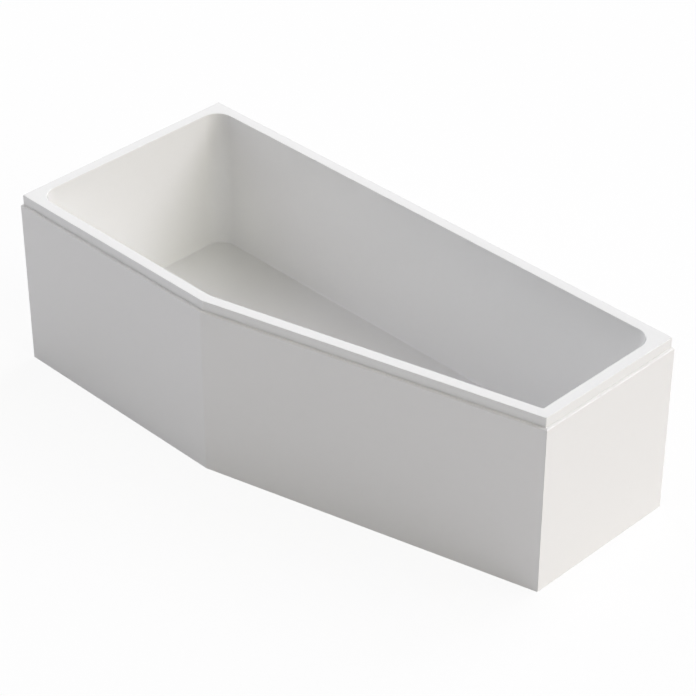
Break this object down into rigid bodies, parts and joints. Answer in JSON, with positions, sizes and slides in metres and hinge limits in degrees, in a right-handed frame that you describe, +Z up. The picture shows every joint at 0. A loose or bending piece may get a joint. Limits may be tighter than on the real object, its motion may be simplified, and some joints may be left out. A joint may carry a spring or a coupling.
{
  "type": "space-saving bathtub",
  "caption": "Five-sided white bathtub, wide at the head and narrow at the foot, with bent front panel, end panel, levelling feet and pop-up waste.",
  "frame": {"origin": "on the floor, under the middle of the tub with its panels", "axes": "+X along the tub to its narrow foot end, +Y to the back wall, +Z up"},
  "size_m": [1.609, 0.699, 0.512],
  "materials": {
    "tub_acrylic": "glossy white acrylic",
    "panel_acrylic": "satin white acrylic",
    "chipboard": "raw chipboard",
    "softwood": "sawn softwood",
    "rail_steel": "zinc plated, folded",
    "fixing_steel": "zinc plated",
    "foot_plastic": "moulded, dark",
    "chrome_trim": "polished chrome plate",
    "seal_rubber": "black rubber",
    "fitting_plastic": "moulded, white",
    "hose_plastic": "ribbed, dark",
    "cable_sheath": "smooth, black"
  },
  "bodies": {
    "root": {"tub_shell": "tub_acrylic", "front_panel": "panel_acrylic", "end_panel": "panel_acrylic", "floor_board": "chipboard", "rim_batten_front": "softwood", "rim_batten_slant": "softwood", "rim_batten_foot": "softwood", "rim_batten_back": "softwood", "rim_batten_head": "softwood", "head_rail": "rail_steel", "foot_rail": "rail_steel", "overflow_flange": "chrome_trim", "waste_flange": "chrome_trim", "overflow_gasket": "seal_rubber", "waste_gasket": "seal_rubber", "waste_under_gasket": "seal_rubber", "overflow_elbow": "fitting_plastic", "waste_body": "fitting_plastic", "trap_bend": "fitting_plastic", "trap_nut": "fitting_plastic", "outlet_pipe": "fitting_plastic", "outlet_nut": "fitting_plastic", "overflow_hose": "hose_plastic", "plug_cable": "cable_sheath", "rail_screw_1": "fixing_steel", "rim_clip_1": "fixing_steel", "floor_clip_1": "fixing_steel", "rail_screw_2": "fixing_steel", "rim_clip_2": "fixing_steel", "floor_clip_2": "fixing_steel", "rail_screw_3": "fixing_steel", "rim_clip_3": "fixing_steel", "floor_clip_3": "fixing_steel", "rail_screw_4": "fixing_steel", "rim_clip_4": "fixing_steel", "floor_clip_4": "fixing_steel", "leveller_nut_head_front": "fixing_steel", "leveller_locknut_head_front": "fixing_steel", "leveller_nut_head_back": "fixing_steel", "leveller_locknut_head_back": "fixing_steel", "leveller_nut_foot_front": "fixing_steel", "leveller_locknut_foot_front": "fixing_steel", "leveller_nut_foot_back": "fixing_steel", "leveller_locknut_foot_back": "fixing_steel"},
    "overflow_control": {"overflow_knob": "chrome_trim"},
    "plug": {"waste_plug": "chrome_trim", "plug_seal": "seal_rubber"},
    "leveller_head_front": {"leveller_pad_head_front": "foot_plastic", "leveller_stud_head_front": "fixing_steel"},
    "leveller_head_back": {"leveller_pad_head_back": "foot_plastic", "leveller_stud_head_back": "fixing_steel"},
    "leveller_foot_front": {"leveller_pad_foot_front": "foot_plastic", "leveller_stud_foot_front": "fixing_steel"},
    "leveller_foot_back": {"leveller_pad_foot_back": "foot_plastic", "leveller_stud_foot_back": "fixing_steel"}
  },
  "joints": [
    {"name": "overflow_knob_turn", "type": "hinge", "parent": "root", "child": "overflow_control", "pos_m": [0.76201, 0.122, 0.432], "axis": [-0.999, 0, 0.0443], "range_deg": [0, 110]},
    {"name": "plug_lift", "type": "slide", "parent": "root", "child": "plug", "axis": [0, 0, 1], "range_m": [0, 0.01]},
    {"name": "leveller_head_front_travel", "type": "slide", "parent": "root", "child": "leveller_head_front", "axis": [0, 0, 1], "range_m": [-0.012, 0.012]},
    {"name": "leveller_head_back_travel", "type": "slide", "parent": "root", "child": "leveller_head_back", "axis": [0, 0, 1], "range_m": [-0.012, 0.012]},
    {"name": "leveller_foot_front_travel", "type": "slide", "parent": "root", "child": "leveller_foot_front", "axis": [0, 0, 1], "range_m": [-0.012, 0.012]},
    {"name": "leveller_foot_back_travel", "type": "slide", "parent": "root", "child": "leveller_foot_back", "axis": [0, 0, 1], "range_m": [-0.012, 0.012]}
  ],
  "couplings": [
    {"joint": "plug_lift", "follows": "overflow_knob_turn", "m_per_rad": 0.0052}
  ]
}
